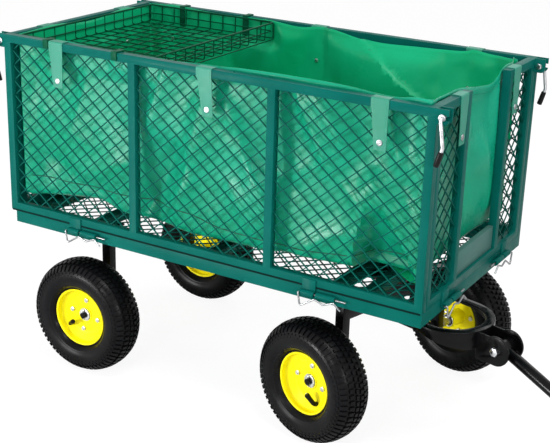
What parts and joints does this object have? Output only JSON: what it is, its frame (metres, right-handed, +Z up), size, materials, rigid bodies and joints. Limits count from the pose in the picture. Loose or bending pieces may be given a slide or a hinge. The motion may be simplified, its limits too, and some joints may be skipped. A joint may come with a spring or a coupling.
{
  "type": "garden cart",
  "caption": "Steel mesh garden cart with a steered front axle, drawbar, folding end gates with bolt latches, pneumatic tyres, a cloth liner on snap straps and a lift-out wire basket.",
  "frame": {"origin": "on the ground, under the middle of the whole cart's outer box, drawbar included", "axes": "+X forward, to the drawbar; +Y to the cart's left; +Z up"},
  "size_m": [1.9776, 0.7008, 0.8733],
  "materials": {
    "frame_paint": "glossy powder coat",
    "plate_paint": "satin",
    "black_paint": "satin powder coat",
    "zinc_steel": "bright zinc",
    "tyre_rubber": "matte",
    "rim_paint": "glossy",
    "grip_rubber": "matte",
    "liner_cloth": "woven coated cloth",
    "basket_paint": "satin"
  },
  "bodies": {
    "chassis": {"deck_frame": "frame_paint", "deck_mesh": "frame_paint", "deck_hinge_sleeves": "frame_paint", "rear_legs": "black_paint", "rear_axle": "black_paint", "rear_axle_fittings": "zinc_steel", "frame_bolts": "zinc_steel", "steering_plate": "black_paint", "near_side_frame": "frame_paint", "near_side_mesh": "frame_paint", "far_side_frame": "frame_paint", "far_side_mesh": "frame_paint", "spring_clips": "zinc_steel", "liner": "liner_cloth", "side_straps": "liner_cloth"},
    "steering": {"kingpin": "zinc_steel", "turntable_washer": "zinc_steel", "steering_yoke": "black_paint", "steering_hoop": "black_paint", "clevis_ears": "black_paint", "front_axle": "black_paint", "front_axle_fittings": "zinc_steel", "clevis_bolt": "zinc_steel"},
    "drawbar": {"drawbar_tube": "black_paint", "drawbar_eye": "black_paint", "drawbar_handle": "black_paint", "handle_grip": "grip_rubber"},
    "front_gate": {"front_gate_frame": "frame_paint", "front_gate_mesh": "frame_paint", "front_gate_plate": "plate_paint", "front_straps": "liner_cloth"},
    "rear_gate": {"rear_gate_frame": "frame_paint", "rear_gate_mesh": "frame_paint", "rear_straps": "liner_cloth"},
    "basket": {"basket": "basket_paint", "basket_hooks": "basket_paint"},
    "lever_front_near": {"latch_lever_front_near": "zinc_steel"},
    "wheel_front_near": {"tyre_front_near": "tyre_rubber", "rim_outer_front_near": "rim_paint", "rim_inner_front_near": "rim_paint", "hub_front_near": "rim_paint", "rim_bolts_front_near": "zinc_steel"},
    "lever_front_far": {"latch_lever_front_far": "zinc_steel"},
    "wheel_front_far": {"tyre_front_far": "tyre_rubber", "rim_outer_front_far": "rim_paint", "rim_inner_front_far": "rim_paint", "hub_front_far": "rim_paint", "rim_bolts_front_far": "zinc_steel"},
    "lever_rear_near": {"latch_lever_rear_near": "zinc_steel"},
    "wheel_rear_near": {"tyre_rear_near": "tyre_rubber", "rim_outer_rear_near": "rim_paint", "rim_inner_rear_near": "rim_paint", "hub_rear_near": "rim_paint", "rim_bolts_rear_near": "zinc_steel"},
    "lever_rear_far": {"latch_lever_rear_far": "zinc_steel"},
    "wheel_rear_far": {"tyre_rear_far": "tyre_rubber", "rim_outer_rear_far": "rim_paint", "rim_inner_rear_far": "rim_paint", "hub_rear_far": "rim_paint", "rim_bolts_rear_far": "zinc_steel"}
  },
  "joints": [
    {"name": "steering_turn", "type": "hinge", "parent": "chassis", "child": "steering", "pos_m": [0.01119, 0, 0.366], "axis": [0, 0, 1], "range_deg": [-25, 55]},
    {"name": "drawbar_raise", "type": "hinge", "parent": "steering", "child": "drawbar", "pos_m": [0.33478, -0.0867, 0.272], "axis": [-0.2588, -0.9659, 0], "range_deg": [0, 105]},
    {"name": "front_gate_fold", "type": "hinge", "parent": "chassis", "child": "front_gate", "pos_m": [0.22519, 0, 0.391], "axis": [0, -1, 0], "range_deg": [-90, 0], "deforming": ["front_straps"]},
    {"name": "rear_gate_fold", "type": "hinge", "parent": "chassis", "child": "rear_gate", "pos_m": [-0.97081, 0, 0.391], "axis": [0, 1, 0], "range_deg": [-90, 0], "deforming": ["rear_straps"]},
    {"name": "lever_front_near_swing", "type": "hinge", "parent": "front_gate", "child": "lever_front_near", "pos_m": [0.22919, -0.314, 0.852], "axis": [0, -1, 0], "range_deg": [0, 90]},
    {"name": "lever_front_far_swing", "type": "hinge", "parent": "front_gate", "child": "lever_front_far", "pos_m": [0.22919, 0.314, 0.852], "axis": [0, -1, 0], "range_deg": [0, 90]},
    {"name": "lever_rear_near_swing", "type": "hinge", "parent": "rear_gate", "child": "lever_rear_near", "pos_m": [-0.97481, -0.314, 0.852], "axis": [0, 1, 0], "range_deg": [0, 90]},
    {"name": "lever_rear_far_swing", "type": "hinge", "parent": "rear_gate", "child": "lever_rear_far", "pos_m": [-0.97481, 0.314, 0.852], "axis": [0, 1, 0], "range_deg": [0, 90]},
    {"name": "basket_lift", "type": "slide", "parent": "chassis", "child": "basket", "axis": [0, 0, 1], "range_m": [0, 0.12]},
    {"name": "wheel_front_near_spin", "type": "hinge", "parent": "steering", "child": "wheel_front_near", "pos_m": [-0.06128, -0.27046, 0.153], "axis": [0.2588, 0.9659, 0], "continuous": true},
    {"name": "wheel_front_far_spin", "type": "hinge", "parent": "steering", "child": "wheel_front_far", "pos_m": [0.08366, 0.27046, 0.153], "axis": [0.2588, 0.9659, 0], "continuous": true},
    {"name": "wheel_rear_near_spin", "type": "hinge", "parent": "chassis", "child": "wheel_rear_near", "pos_m": [-0.73681, -0.28, 0.153], "axis": [0, 1, 0], "continuous": true},
    {"name": "wheel_rear_far_spin", "type": "hinge", "parent": "chassis", "child": "wheel_rear_far", "pos_m": [-0.73681, 0.28, 0.153], "axis": [0, 1, 0], "continuous": true}
  ]
}
